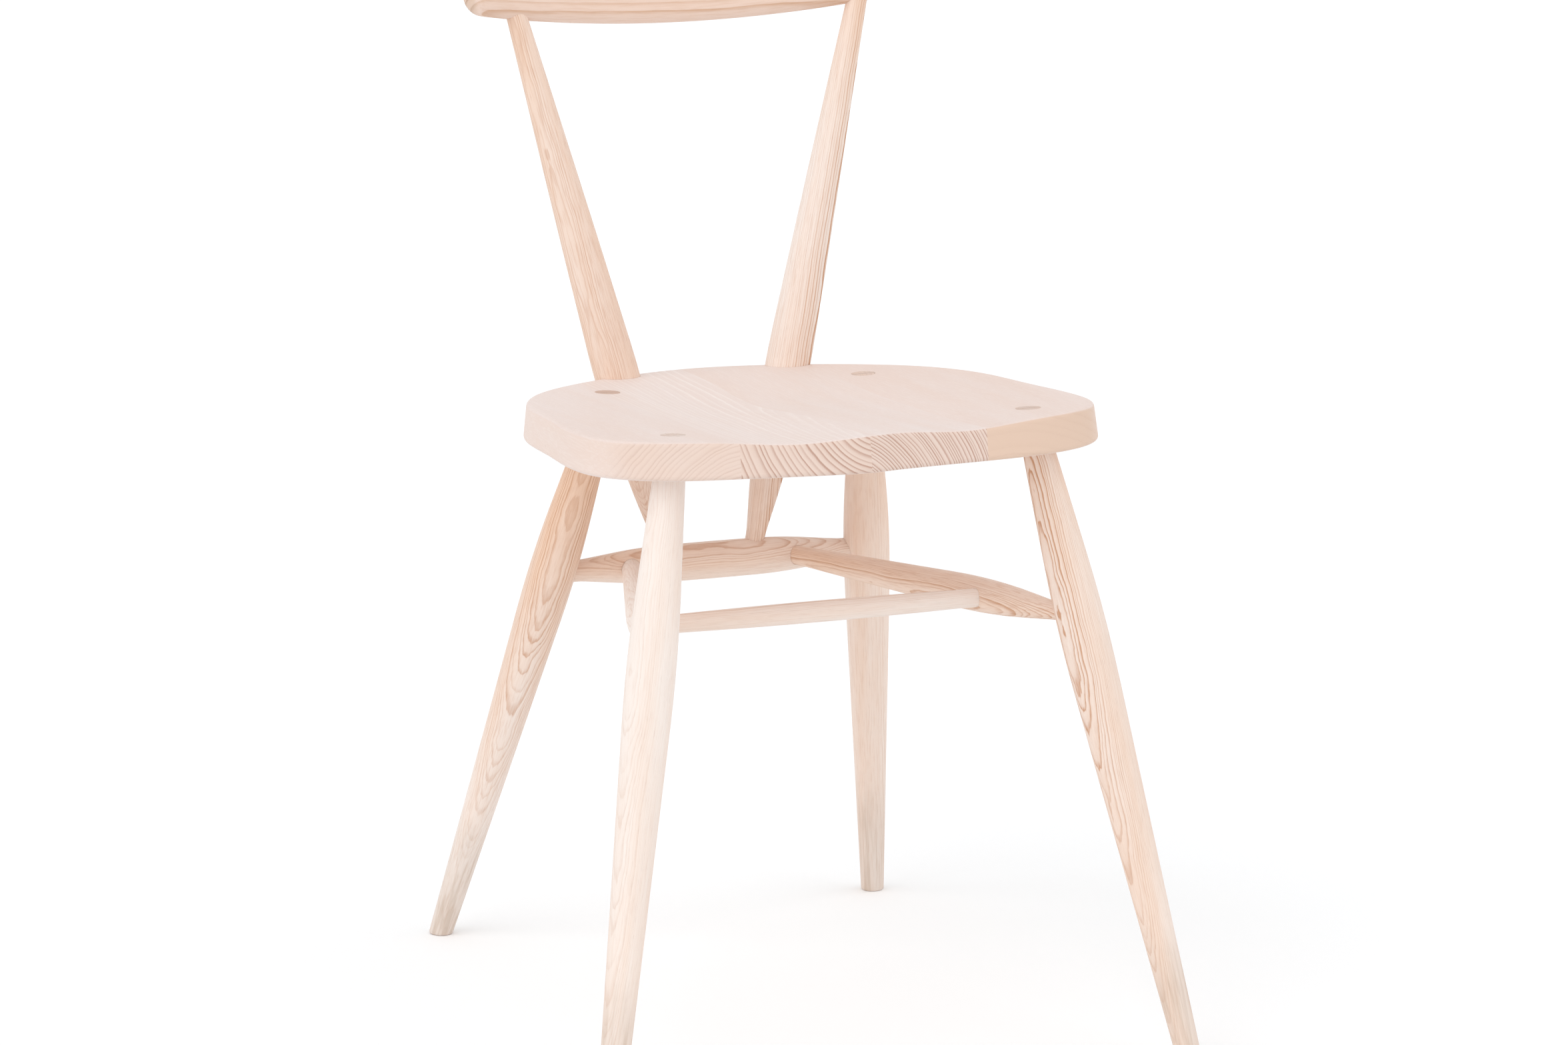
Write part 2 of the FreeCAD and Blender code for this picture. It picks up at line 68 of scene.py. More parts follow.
# Each log starts with its bark, pith, ring, strength and warmth. The seat's boards were glued
# with their year rings turned this way and that.
BOARD_LOGS = {
    "seat_board_left": Log((-0.80, 0.0, 0.60), 0.070, 0.0027, 0.15, 0.38, fade=-0.8,
                           inner=1.0, cut=0.45, cut_rings=0.34),
    "seat_board_centre_left": Log((-0.67, 0.0, -0.60), 0.071, 0.0036, 0.75, 0.34, fade=0.3,
                                  inner=1.0, wander=0.6, cut=0.50, cut_rings=1.2),
    "seat_board_centre_right": Log((0.88, 0.0, 0.46), 0.082, 0.0021, 0.12, 0.52, fade=1.5,
                                   inner=1.0, wander=0.5, cut=0.45, cut_rings=1.6),
    "seat_board_right": Log((0.3, 0.0, 0.95), 0.150, 0.0060, 0.06, 0.85, fade=1.2,
                            inner=1.0, cut=0.95, cut_rings=0.05),
}

LEG_LOGS = {
    "leg_front_left": Log((-0.95, -0.3, 0.0), 0.100, 0.0012, 0.20, 0.10, lean=-0.030, streaks=0.5,
                          cut=0.3),
    "leg_front_right": Log((-0.97, -0.25, 0.0), 0.086, 0.0012, 0.80, 0.40, fade=0.6,
                           ring_fade=3.0, lean=-0.030, streaks=0.8, cut=0.5),
    "leg_rear_left": Log((-0.30, -0.95, 0.0), 0.095, 0.0012, 0.60, 0.42, fade=3.6,
                         ring_fade=3.0, lean=-0.046, streaks=1.3, cut=0.75),
    "leg_rear_right": Log((0.95, -0.2, 0.0), 0.120, 0.0012, 0.28, 0.42, fade=1.1, wander=0.5,
                          cut=0.35),
}

STRETCHER_LOGS = {
    "rear_stretcher": Log((-0.1, -0.55, 0.83), 0.080, 0.0011, 0.60, 0.44, inner=0.8, lean=0.01),
    "side_stretcher_left": Log((-0.8, 0.2, 0.5), 0.090, 0.0012, 0.20, 0.10),
    # The right side stretcher's warmth is partly its own wood and partly painted warm shade from
    # under the seat
    "side_stretcher_right": Log((-0.78, -0.30, -0.55), 0.090, 0.0011, 0.90, 0.62, wander=0.7,
                                lean=0.008, streaks=1.8),
    "cross_stretcher": Log((0.0, 0.3, 0.95), 0.090, 0.0012, 0.40, 0.17, wander=0.5,
                           streaks=0.6),
}

STICK_LOGS = {
    "back_stick_left": Log((-0.75, -0.65, 0.1), 0.090, 0.0008, 0.60, 0.54, fade=0.6,
                           wander=0.6, lean=-0.030, streaks=1.8),
    # The right back stick gets warmer towards both ends; below the seat that warmth is painted
    # shade
    "back_stick_right": Log((0.88, -0.48, 0.1), 0.090, 0.0015, 1.2, 0.17, fade=0.5, ends=13.0,
                            wander=0.45, lean=-0.034),
}

RAIL_LOG = Log((0.0, -0.80, -0.60), 0.117, 0.0044, 0.75, 0.46, wander=0.55, lean=0.004)

FIXING_LOGS = {
    "wedge_front_left": Log((0.0, 1.0, 0.0), 0.080, 0.0016, 0.4, 0.3, cut=0.4),
    "wedge_front_right": Log((0.0, 1.0, 0.0), 0.086, 0.0016, 0.4, 0.5, cut=0.7),
    "wedge_rear_left": Log((0.0, 1.0, 0.0), 0.092, 0.0016, 0.4, 0.6, cut=0.9),
    "wedge_rear_right": Log((0.0, 1.0, 0.0), 0.098, 0.0016, 0.4, 0.4, cut=0.5),
    "screw_plugs": Log((0.3, 0.0, 1.0), 0.060, 0.0018, 0.7, 0.5),
}

# Radii that the rail's grain follows: its bend over the former, and its curved lower edge
RAIL_BEND = 0.520
RAIL_LOWER_EDGE = 1.005

# Noise in the wood: changes per metre along each axis of the log, whose Z is the grain
PORES = (2600.0, 2600.0, 110.0)
FIBRES = (700.0, 700.0, 28.0)
BUNDLES = (900.0, 900.0, 55.0)
BROAD_STREAKS = (60.0, 60.0, 5.0)

# Where noise begins to count, and where it counts in full
PORE_LIMITS = (0.58, 0.70)
BUNDLE_LIMITS = (0.46, 0.70)
FLOOR_DARKENING_STREAK_LIMITS = (0.46, 0.72)

# Sideways sway of the fibres, from slow to quick: changes per metre, and reach in metres
SWAYS = (((9.0, 9.0, 7.0), 0.0036), ((34.0, 34.0, 20.0), 0.0013),
         ((110.0, 110.0, 55.0), 0.0005), ((420.0, 420.0, 150.0), 0.00016))

# Porous early wood through one year ring, as (share of the ring, how porous)
YEAR_RING = ((0.0, 0.10), (0.07, 1.0), (0.18, 0.80), (0.42, 0.16), (0.85, 0.0), (1.0, 0.10))
YEAR_POROSITY = (0.45, 1.25)    # in the least porous year and in the most
RING_DRIFT_PACE = 0.31          # how often the rings get wider and narrower, per ring
RING_DRIFT = 1.6                # how far that moves them, in rings

# How a face turns: 1 looks along a direction, 0 stands square to it and -1 looks against it
CUT_END_TURN = (0.35, 0.70)     # along the grain, where the cut end begins and is full
WORN_TURN = (0.70, 0.35)        # up or down, where edge wear begins and is full
BARK_TURN = -0.10               # towards the bark, where the rings begin to get stronger
FLAT_TURN = 0.90                # towards or against the bark, where they are strongest
SIDE_RINGS = 0.25               # how strongly they show at least

WARMTH_SWING = 0.55             # how much warmer or paler the broad streaks are at most
FIBRE_CONTRAST = (0.3, 1.7)     # of ring lines, between the fibres and on them
LATE_WOOD_PORES = 0.1           # share of the early wood's pores
BUNDLE_DARKNESS = 0.16
PORE_DARKNESS = 0.16
PORE_DEPTH = 0.8                # share of the relief's depth
RING_DEPTH = 0.35               # share of the relief's depth
EARLY_ROUGHNESS = 0.10          # how much more matt the early wood is
RELIEF_STRENGTH = 0.35
RELIEF_DEPTH = 0.0003
SHEEN = 0.30                    # below the usual 0.5, for a matt finish

# Darkening of the legs towards the floor: its noise in changes per metre, and shares of its
# colour
FLOOR_DARKENING_PATCHES = (60.0, 60.0, 25.0)
FLOOR_DARKENING_STREAKS = (260.0, 260.0, 12.0)
FLOOR_DARKENING_RAGGED = 0.02              # how far its upper edge goes up and down
FLOOR_DARKENING_FULL = 0.4                 # share of its height up to which it stays full
FLOOR_DARKENING_SHARE = 0.34
FLOOR_DARKENING_STREAK_SHARE = (0.65, 1.6)

STEEL_BRUSHING = (900.0, 4000.0, 900.0)
STEEL_SHADES = (0.85, 1.15)
STEEL_DULLING = 0.1             # how much duller or brighter the brushing makes it at most

# Rounds that bring a first guess of a piece's long axis to rest
AXIS_ROUNDS = 20

CAMERA_TARGET = Vector((0.0, -0.026, 0.392))
CAMERA_SHIFT = (-0.0024, -0.0427)    # shares of the frame's width, to the side and up
CAMERA_REACH = 200.0                 # how far the camera sees


# Properties

def colour(name, description, default):
    """Colour of a finish, as a property."""
    return bpy.props.FloatVectorProperty(
        name=name, description=description, subtype="COLOR", size=3, min=0.0, max=1.0,
        default=default)


def share(name, description, default):
    """Share from 0 to 1, as a property."""
    return bpy.props.FloatProperty(
        name=name, description=description, subtype="FACTOR", min=0.0, max=1.0, default=default)


class SeatSettings(bpy.types.PropertyGroup):
    """Whitened ash of the seat's boards."""
    pale: colour("Palest Wood", "Wood between the ring lines of the palest board",
                 (0.82, 0.715, 0.677))
    warm: colour("Warmest Wood", "Wood between the ring lines of the warmest board",
                 (0.798, 0.646, 0.579))
    line: colour("Ring Lines", "Porous early wood along the grain", (0.92, 0.84, 0.80))
    end: colour("Cut Ends", "Wood across the grain", (0.735, 0.54, 0.42))
    end_line: colour("Rings on Cut Ends", "Ring lines across the grain", (0.52, 0.33, 0.26))
    edge: share("Edge Wear", "How much of the cut ends' colour all upright edges take", 0.6)
    roughness: share("Roughness", "How matt the seat is", 0.55)


class TurnedSettings(bpy.types.PropertyGroup):
    """Natural ash of the legs, stretchers and sticks."""
    pale: colour("Palest Wood", "Wood between the ring lines of the palest piece",
                 (0.89, 0.80, 0.74))
    warm: colour("Warmest Wood", "Wood between the ring lines of the warmest piece",
                 (0.82, 0.57, 0.42))
    line: colour("Ring Lines", "Porous early wood along the grain", (0.58, 0.31, 0.18))
    end: colour("Cut Ends", "Wood across the grain", (0.61, 0.445, 0.385))
    end_line: colour("Rings on Cut Ends", "Ring lines across the grain", (0.42, 0.28, 0.22))
    # Darker colour that the legs take towards the floor, and how far up that darkening reaches
    floor_darkening: colour("Foot Soil", "What the floor leaves on the feet", (0.47, 0.33, 0.23))
    floor_darkening_height: bpy.props.FloatProperty(
        name="Soil Height", description="How far up the legs the floor's soil fades out",
        subtype="DISTANCE", unit="LENGTH", min=0.001, default=0.11)
    edge: share("Edge Wear", "How much of the cut ends' colour all upright edges take", 0.0)
    roughness: share("Roughness", "How matt the turned pieces are", 0.50)


class RailSettings(bpy.types.PropertyGroup):
    """Natural ash of the back rail."""
    pale: colour("Palest Wood", "Wood between the ring lines where it is palest",
                 (0.86, 0.72, 0.64))
    warm: colour("Warmest Wood", "Wood between the ring lines where it is warmest",
                 (0.785, 0.56, 0.44))
    line: colour("Ring Lines", "Porous early wood along the grain", (0.58, 0.32, 0.17))
    end: colour("Cut Ends", "Wood across the grain", (0.66, 0.48, 0.36))
    end_line: colour("Rings on Cut Ends", "Ring lines across the grain", (0.45, 0.28, 0.18))
    edge: share("Edge Wear", "How much of the cut ends' colour all upright edges take", 0.0)
    roughness: share("Roughness", "How matt the rail is", 0.50)


class FixingSettings(bpy.types.PropertyGroup):
    """Wedges, plugs and screws."""
    pale: colour("Palest Wedge", "Wood between the ring lines of the palest wedge",
                 (0.80, 0.66, 0.58))
    warm: colour("Warmest Wedge", "Wood between the ring lines of the warmest wedge",
                 (0.66, 0.48, 0.38))
    line: colour("Ring Lines", "Porous early wood along the grain", (0.48, 0.33, 0.25))
    end: colour("Cut Ends", "Wood across the grain", (0.56, 0.40, 0.33))
    end_line: colour("Rings on Cut Ends", "Ring lines across the grain", (0.40, 0.27, 0.21))
    edge: share("Edge Wear", "How much of the cut ends' colour all upright edges take", 0.0)
    roughness: share("Roughness", "How matt the wedges and plugs are", 0.55)
    steel: colour("Screw Steel", "Zinc plated steel of the screws", (0.62, 0.62, 0.60))
    steel_roughness: share("Screw Roughness", "How dull the screws are", 0.32)


class StageSettings(bpy.types.PropertyGroup):
    """Floor, lights and camera."""
    floor: colour("Floor", "Colour of the studio floor", (0.953, 0.965, 0.975))
    floor_size: bpy.props.FloatProperty(
        name="Floor Size", description="Side of the square floor", subtype="DISTANCE",
        unit="LENGTH", min=2.0, default=60.0)
    floor_lift: share("Floor Lift", "White that the camera sees over the floor's own colour",
                      0.06)
    left_strength: bpy.props.FloatProperty(
        name="Left Light", description="Strength of the soft light at the front left",
        min=0.0, default=0.85)
    left_turn: bpy.props.FloatProperty(
        name="Left Turn", description="Angle of the left light from the chair's front",
        subtype="ANGLE", unit="ROTATION", default=math.radians(62))
    right_strength: bpy.props.FloatProperty(
        name="Right Light", description="Strength of the soft light at the front right",
        min=0.0, default=0.45)
    right_turn: bpy.props.FloatProperty(
        name="Right Turn", description="Angle of the right light from the chair's front",
        subtype="ANGLE", unit="ROTATION", default=math.radians(50))
    light_height: bpy.props.FloatProperty(
        name="Light Height", description="Angle of both lights above level", subtype="ANGLE",
        unit="ROTATION", default=math.radians(34))
    light_softness: bpy.props.FloatProperty(
        name="Light Softness", description="Angle that each light fills", subtype="ANGLE",
        unit="ROTATION", min=0.0, default=math.radians(60))
    surround: bpy.props.FloatProperty(
        name="Surround", description="Strength of the even light from all round", min=0.0,
        default=0.81)
    lens: bpy.props.FloatProperty(
        name="Lens", description="Focal length of the camera", subtype="DISTANCE_CAMERA",
        unit="CAMERA", min=1.0, default=149.2)
    azimuth: bpy.props.FloatProperty(
        name="Azimuth", description="Camera's turn to the right of the chair's front",
        subtype="ANGLE", unit="ROTATION", default=math.radians(-20.55))
    elevation: bpy.props.FloatProperty(
        name="Elevation", description="Camera's angle above level", subtype="ANGLE",
        unit="ROTATION", default=math.radians(11.694))
    roll: bpy.props.FloatProperty(
        name="Roll", description="Camera's tilt about its line of sight", subtype="ANGLE",
        unit="ROTATION", default=math.radians(-0.106))
    distance: bpy.props.FloatProperty(
        name="Distance", description="From the camera to the point that it looks at",
        subtype="DISTANCE", unit="LENGTH", min=0.1, default=4.428)


def settings(name):
    """Values of one group of properties."""
    return getattr(bpy.context.scene, "windsor_" + name)


# Shader nodes

def feed(tree, socket, value):
    """Fill an input from another node's socket or with a plain value."""
    if isinstance(value, bpy.types.NodeSocket):
        tree.links.new(value, socket)
    elif value is not None:
        socket.default_value = value


def put(tree, kind, *values, named=None, **options):
    """New node with its options set, and its inputs filled in order or by name."""
    node = tree.nodes.new(kind)
    for option, value in options.items():
        setattr(node, option, value)
    for socket, value in zip(node.inputs, values):
        feed(tree, socket, value)
    for label, value in (named or {}).items():
        feed(tree, node.inputs[label], value)
    return node


def maths(tree, operation, *values, clamp=False):
    """Result of a calculation with values."""
    node = put(tree, "ShaderNodeMath", *values, operation=operation, use_clamp=clamp)
    return node.outputs[0]


def vectors(tree, operation, *values):
    """Result of a calculation with vectors."""
    node = put(tree, "ShaderNodeVectorMath", *values, operation=operation)
    return node.outputs["Value" if operation in ("LENGTH", "DOT_PRODUCT") else "Vector"]


def scaled(tree, vector, factor):
    """Vector or colour times a value."""
    node = put(tree, "ShaderNodeVectorMath", vector, named={"Scale": factor},
               operation="SCALE")
    return node.outputs["Vector"]


def between(tree, share_of_second, first, second):
    """Colour between two, by a share of the second."""
    node = put(tree, "ShaderNodeMix", share_of_second, data_type="RGBA")
    colour_inputs = [socket for socket in node.inputs if socket.type == "RGBA"]
    feed(tree, colour_inputs[0], first)
    feed(tree, colour_inputs[1], second)
    return [socket for socket in node.outputs if socket.type == "RGBA"][0]


def noise(tree, place, changes, detail=2.0, output="Fac"):
    """Noise about 0.5, with its own changes per metre along each axis of place."""
    stretched = vectors(tree, "MULTIPLY", place, changes)
    return put(tree, "ShaderNodeTexNoise", stretched, None, 1.0, detail).outputs[output]


def spread(tree, value, low, high):
    """Value from 0 to 1 taken evenly to another range."""
    return maths(tree, "MULTIPLY_ADD", value, high - low, low)


def limits(tree, value, low, high, to_low=0.0, to_high=1.0):
    """Value from low to high taken smoothly to another range."""
    node = put(tree, "ShaderNodeMapRange", value, low, high, to_low, to_high,
               interpolation_type="SMOOTHSTEP")
    return node.outputs[0]


def ramp(tree, value, stops):
    """Value led through (position, level) stops."""
    node = put(tree, "ShaderNodeValToRGB", value)
    elements = node.color_ramp.elements
    for _ in stops[2:]:
        elements.new(0.5)
    for element, (position, level) in zip(elements, stops):
        element.position = position
        element.color = (level, level, level, 1.0)
    return node.outputs[0]


def axis(tree, vector, name):
    """One of a vector's three parts."""
    return put(tree, "ShaderNodeSeparateXYZ", vector).outputs[name]


def empty_tree(owner):
    """Node tree of a new material or world, with nothing in it."""
    owner.use_nodes = True
    owner.node_tree.nodes.clear()
    return owner.node_tree


# Wood

LOG_VALUES = ("ring", "strength", "warmth", "fade", "ends", "ring_fade", "inner", "wander",
              "streaks", "cut", "cut_rings")
FINISH_VALUES = ("edge", "roughness")
FINISH_COLOURS = ("pale", "warm", "line", "end", "end_line")
WOOD_INPUTS = {
    "NodeSocketVector": ("place", "grain", "bark"),
    "NodeSocketFloat": ("height", *LOG_VALUES, *FINISH_VALUES),
    "NodeSocketColor": FINISH_COLOURS,
}
WOOD_OUTPUTS = {
    "NodeSocketColor": ("colour",),
    "NodeSocketFloat": ("roughness", "relief"),
}


def swayed(tree, place, wander):
    """Place after the fibres swayed, so that ring lines waver and loops close unevenly."""
    moved = place
    for changes, reach in SWAYS:
        shift = noise(tree, place, changes, output="Color")
        shift = vectors(tree, "SUBTRACT", shift, (0.5, 0.5, 0.5))
        shift = vectors(tree, "MULTIPLY", shift, (2 * reach, 2 * reach, 0.0))
        moved = vectors(tree, "ADD", moved, scaled(tree, shift, wander))
    return moved


def early_wood(tree, place, ring):
    """Porous wood round the pith: each year starts sharply and fades into late wood."""
    radius = vectors(tree, "LENGTH", vectors(tree, "MULTIPLY", place, (1.0, 1.0, 0.0)))
    rings = maths(tree, "DIVIDE", radius, ring)
    drift = put(tree, "ShaderNodeTexNoise", None,
                maths(tree, "MULTIPLY", rings, RING_DRIFT_PACE), 1.0, 1.0,
                noise_dimensions="1D").outputs["Fac"]
    rings = maths(tree, "MULTIPLY_ADD", drift, RING_DRIFT, rings)
    early = ramp(tree, maths(tree, "FRACT", rings), YEAR_RING)
    year = put(tree, "ShaderNodeTexWhiteNoise", None, maths(tree, "FLOOR", rings),
               noise_dimensions="1D").outputs["Value"]
    return maths(tree, "MULTIPLY", early, spread(tree, year, *YEAR_POROSITY))


def facing(tree, given):
    """By the way a face turns: its share of cut end, of flat grain and of worn edge."""
    normal = put(tree, "ShaderNodeNewGeometry").outputs["Normal"]
    ending = maths(tree, "ABSOLUTE", vectors(tree, "DOT_PRODUCT", normal, given["grain"]))
    cut_end = limits(tree, ending, *CUT_END_TURN)

    # The rings show best on faces that look along the line from the pith to the bark
    outward = vectors(tree, "DOT_PRODUCT", normal, given["bark"])
    outer = limits(tree, outward, BARK_TURN, FLAT_TURN, SIDE_RINGS, 1.0)
    inner = limits(tree, outward, BARK_TURN, -FLAT_TURN, 0.0, 1.0)
    flat = maths(tree, "MAXIMUM", outer, maths(tree, "MULTIPLY", inner, given["inner"]))

    level = maths(tree, "ABSOLUTE", axis(tree, normal, "Z"))
    worn = maths(tree, "MULTIPLY", limits(tree, level, *WORN_TURN), given["edge"])
    return cut_end, flat, worn


def warmth_of(tree, given):
    """From the palest wood, 0, to the warmest, 1, with broad streaks along the log."""
    warmth = maths(tree, "MULTIPLY_ADD", given["height"], given["fade"], given["warmth"])
    # Warmer away from the middle: on the right back stick this is painted shade below the seat
    square = maths(tree, "MULTIPLY", given["height"], given["height"])
    warmth = maths(tree, "MULTIPLY_ADD", square, given["ends"], warmth)
    streaks = noise(tree, given["place"], BROAD_STREAKS, detail=3.0)
    return maths(tree, "ADD", warmth, spread(tree, streaks, -WARMTH_SWING, WARMTH_SWING),
                 clamp=True)


def wood_group():
    """Solid ash: year rings round a pith on the Z axis of place, with pores and fibres."""
    name = "ring_porous_wood"
    if name in bpy.data.node_groups:
        return bpy.data.node_groups[name]
    tree = bpy.data.node_groups.new(name, "ShaderNodeTree")
    for way, sockets in (("INPUT", WOOD_INPUTS), ("OUTPUT", WOOD_OUTPUTS)):
        for kind, labels in sockets.items():
            for label in labels:
                tree.interface.new_socket(label, in_out=way, socket_type=kind)
    given = tree.nodes.new("NodeGroupInput").outputs
    place = given["place"]

    # Pores are fine tubes along the grain, most of them in the early wood
    early = early_wood(tree, swayed(tree, place, given["wander"]), given["ring"])
    pores = limits(tree, noise(tree, place, PORES, detail=1.0), *PORE_LIMITS)
    pores = maths(tree, "MULTIPLY", pores, spread(tree, early, LATE_WOOD_PORES, 1.0))
    fibres = spread(tree, noise(tree, place, FIBRES, detail=3.0), *FIBRE_CONTRAST)
    ring_lines = maths(tree, "MULTIPLY", early, fibres)

    # Cut ends drink more finish than the long grain
    cut_end, flat, worn = facing(tree, given)
    plain_wood = between(tree, warmth_of(tree, given), given["pale"], given["warm"])
    cut_wood = between(tree, given["cut"], plain_wood, given["end"])
    plain_wood = between(tree, worn, plain_wood, cut_wood)

    # Along the grain show ring lines and single bundles of fibres, and across it the rings
    strength = maths(tree, "MULTIPLY_ADD", given["height"], given["ring_fade"],
                     given["strength"])
    strength = maths(tree, "MAXIMUM", strength, 0.0)
    line_share = maths(tree, "MULTIPLY", maths(tree, "MULTIPLY", ring_lines, flat), strength,
                       clamp=True)
    along = between(tree, line_share, plain_wood, given["line"])
    bundles = limits(tree, noise(tree, place, BUNDLES), *BUNDLE_LIMITS, 0.0, BUNDLE_DARKNESS)
    bundles = maths(tree, "MULTIPLY", bundles, given["streaks"])
    along = between(tree, bundles, along, given["line"])
    ring_share = maths(tree, "MULTIPLY", early, given["cut_rings"], clamp=True)
    across = between(tree, ring_share, cut_wood, given["end_line"])
    wood = between(tree, cut_end, along, across)
    wood = between(tree, maths(tree, "MULTIPLY", pores, PORE_DARKNESS), wood,
                   given["end_line"])

    roughness = maths(tree, "MULTIPLY_ADD", early, EARLY_ROUGHNESS, given["roughness"])
    relief = maths(tree, "MULTIPLY", ring_lines, -RING_DEPTH)
    relief = maths(tree, "MULTIPLY_ADD", pores, -PORE_DEPTH, relief)
    put(tree, "NodeGroupOutput",
        named={"colour": wood, "roughness": roughness, "relief": relief})
    return tree


def straightened(tree, where):
    """The rail's places with its bend and the curve of its lower edge taken out."""
    along = axis(tree, where, "X")
    square = maths(tree, "MULTIPLY", along, along)
    back = maths(tree, "MULTIPLY", square, 0.5 / RAIL_BEND)
    down = maths(tree, "MULTIPLY", square, -0.5 / RAIL_LOWER_EDGE)
    shift = put(tree, "ShaderNodeCombineXYZ", 0.0, back, down).outputs[0]
    return vectors(tree, "ADD", where, shift)


def darkened_near_floor(tree, where, place, wood, finish):
    """Legs darken towards the floor, most of all in streaks along their grain."""
    height = maths(tree, "ADD", axis(tree, where, "Z"), FLOOR_DARKENING_RAGGED)
    patches = noise(tree, where, FLOOR_DARKENING_PATCHES, detail=3.0)
    height = maths(tree, "MULTIPLY_ADD", patches, -2 * FLOOR_DARKENING_RAGGED, height)
    floor_darkening = limits(tree, height, FLOOR_DARKENING_FULL * finish.floor_darkening_height, finish.floor_darkening_height,
                  FLOOR_DARKENING_SHARE, 0.0)
    streaks = limits(tree, noise(tree, place, FLOOR_DARKENING_STREAKS), *FLOOR_DARKENING_STREAK_LIMITS,
                     *FLOOR_DARKENING_STREAK_SHARE)
    floor_darkening = maths(tree, "MULTIPLY", floor_darkening, streaks, clamp=True)
    return between(tree, floor_darkening, wood, (*finish.floor_darkening, 1.0))


def wood_material(name, log, centre, grain, finish, bent=False, standing=False):
    """Ash cut from a log whose grain runs along a direction through centre."""
    material = bpy.data.materials.new(name)
    tree = empty_tree(material)

    # Bark, side and grain are square to one another, and the pith runs along the grain
    bark = Vector(log.bark)
    bark = (bark - grain * bark.dot(grain)).normalized()
    grain = (grain + bark * log.lean).normalized()
    bark = (bark - grain * bark.dot(grain)).normalized()
    side = grain.cross(bark)
    pith = centre - bark * log.pith
    turn = Matrix((bark, side, grain)).transposed()

    where = put(tree, "ShaderNodeTexCoord").outputs["Object"]
    unbent = straightened(tree, where) if bent else where
    place = put(tree, "ShaderNodeMapping", unbent, pith, turn.to_euler(), (1.0, 1.0, 1.0),
                vector_type="TEXTURE").outputs[0]

    given = {"place": place, "height": axis(tree, place, "Z"), "grain": grain, "bark": bark}
    given.update({field: getattr(log, field) for field in LOG_VALUES})
    given.update({field: getattr(finish, field) for field in FINISH_VALUES})
    given.update({field: (*getattr(finish, field), 1.0) for field in FINISH_COLOURS})
    wood = put(tree, "ShaderNodeGroup", named=given, node_tree=wood_group()).outputs
    surface_colour = wood["colour"]
    # Legs get darker towards the floor
    if standing:
        surface_colour = darkened_near_floor(tree, where, place, surface_colour, finish)
    relief = put(tree, "ShaderNodeBump", named={
        "Strength": RELIEF_STRENGTH, "Distance": RELIEF_DEPTH, "Height": wood["relief"]})
    surface = put(tree, "ShaderNodeBsdfPrincipled", named={
        "Base Color": surface_colour, "Roughness": wood["roughness"],
        "Specular IOR Level": SHEEN, "Normal": relief.outputs[0]})
    put(tree, "ShaderNodeOutputMaterial", surface.outputs[0])
    return material


def steel_material(name, finish):
    """Zinc plated steel, brushed round by the cutter that made it."""
    material = bpy.data.materials.new(name)
    tree = empty_tree(material)
    where = put(tree, "ShaderNodeTexCoord").outputs["Object"]
    brushed = noise(tree, where, STEEL_BRUSHING)
    roughness = spread(tree, brushed, finish.steel_roughness - STEEL_DULLING,
                       finish.steel_roughness + STEEL_DULLING)
    steel = scaled(tree, (*finish.steel,), spread(tree, brushed, *STEEL_SHADES))
    surface = put(tree, "ShaderNodeBsdfPrincipled", named={
        "Base Color": steel, "Roughness": roughness, "Metallic": 1.0})
    put(tree, "ShaderNodeOutputMaterial", surface.outputs[0])
    return material


# Pieces

def finish_node(node, material):
    """Give a carried-over piece its material."""
    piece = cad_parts[node]
    for slot in piece.material_slots:
        slot.material = material
    if not piece.material_slots:
        piece.data.materials.append(material)


def middle(node):
    """Middle of a piece's box."""
    low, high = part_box(node)
    return (low + high) / 2


def long_axis(node):
    """Direction of a piece's longest run, from its own vertices."""
    points = [vertex.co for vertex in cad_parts[node].data.vertices]
    centre = middle(node)
    far = max(points, key=lambda point: (point - centre).length)
    direction = (far - centre).normalized()
    for _ in range(AXIS_ROUNDS):
        total = Vector((0, 0, 0))
        for point in points:
            total += (point - centre) * (point - centre).dot(direction)
        direction = total.normalized()
    return direction


def finish_turned(logs, finish, standing=False):
    """Ash on turned pieces, with the grain along each one's axis."""
    for node, log in logs.items():
        grain = long_axis(node)
        if grain.z < 0:
            grain = -grain
        finish_node(node, wood_material(node, log, middle(node), grain, finish,
                                        standing=standing))


class FinishSeat(bpy.types.Operator):
    """Whitened ash on the seat's four boards, with their end grain at the front edge"""
    bl_idname = "windsor.finish_seat"
    bl_label = "Finish Seat"

    def execute(self, context):
        for node, log in BOARD_LOGS.items():
            material = wood_material(node, log, middle(node), BACK, settings("seat"))
            finish_node(node, material)
        return {"FINISHED"}


class FinishLegs(bpy.types.Operator):
    """Natural ash on the four turned legs, each cut from its own log"""
    bl_idname = "windsor.finish_legs"
    bl_label = "Finish Legs"

    def execute(self, context):
        finish_turned(LEG_LOGS, settings("turned"), standing=True)
        return {"FINISHED"}


class FinishStretchers(bpy.types.Operator):
    """Natural ash on the four stretchers"""
    bl_idname = "windsor.finish_stretchers"
    bl_label = "Finish Stretchers"

    def execute(self, context):
        finish_turned(STRETCHER_LOGS, settings("turned"))
        return {"FINISHED"}


class FinishSticks(bpy.types.Operator):
    """Natural ash on the two back sticks"""
    bl_idname = "windsor.finish_sticks"
    bl_label = "Finish Sticks"

    def execute(self, context):
        finish_turned(STICK_LOGS, settings("turned"))
        return {"FINISHED"}


class FinishRail(bpy.types.Operator):
    """Natural ash on the back rail, sawn so that its ring lines follow the lower edge"""
    bl_idname = "windsor.finish_rail"
    bl_label = "Finish Rail"

    def execute(self, context):
        node = "back_rail"
        material = wood_material(node, RAIL_LOG, middle(node), ACROSS, settings("rail"),
                                 bent=True)
        finish_node(node, material)
        return {"FINISHED"}


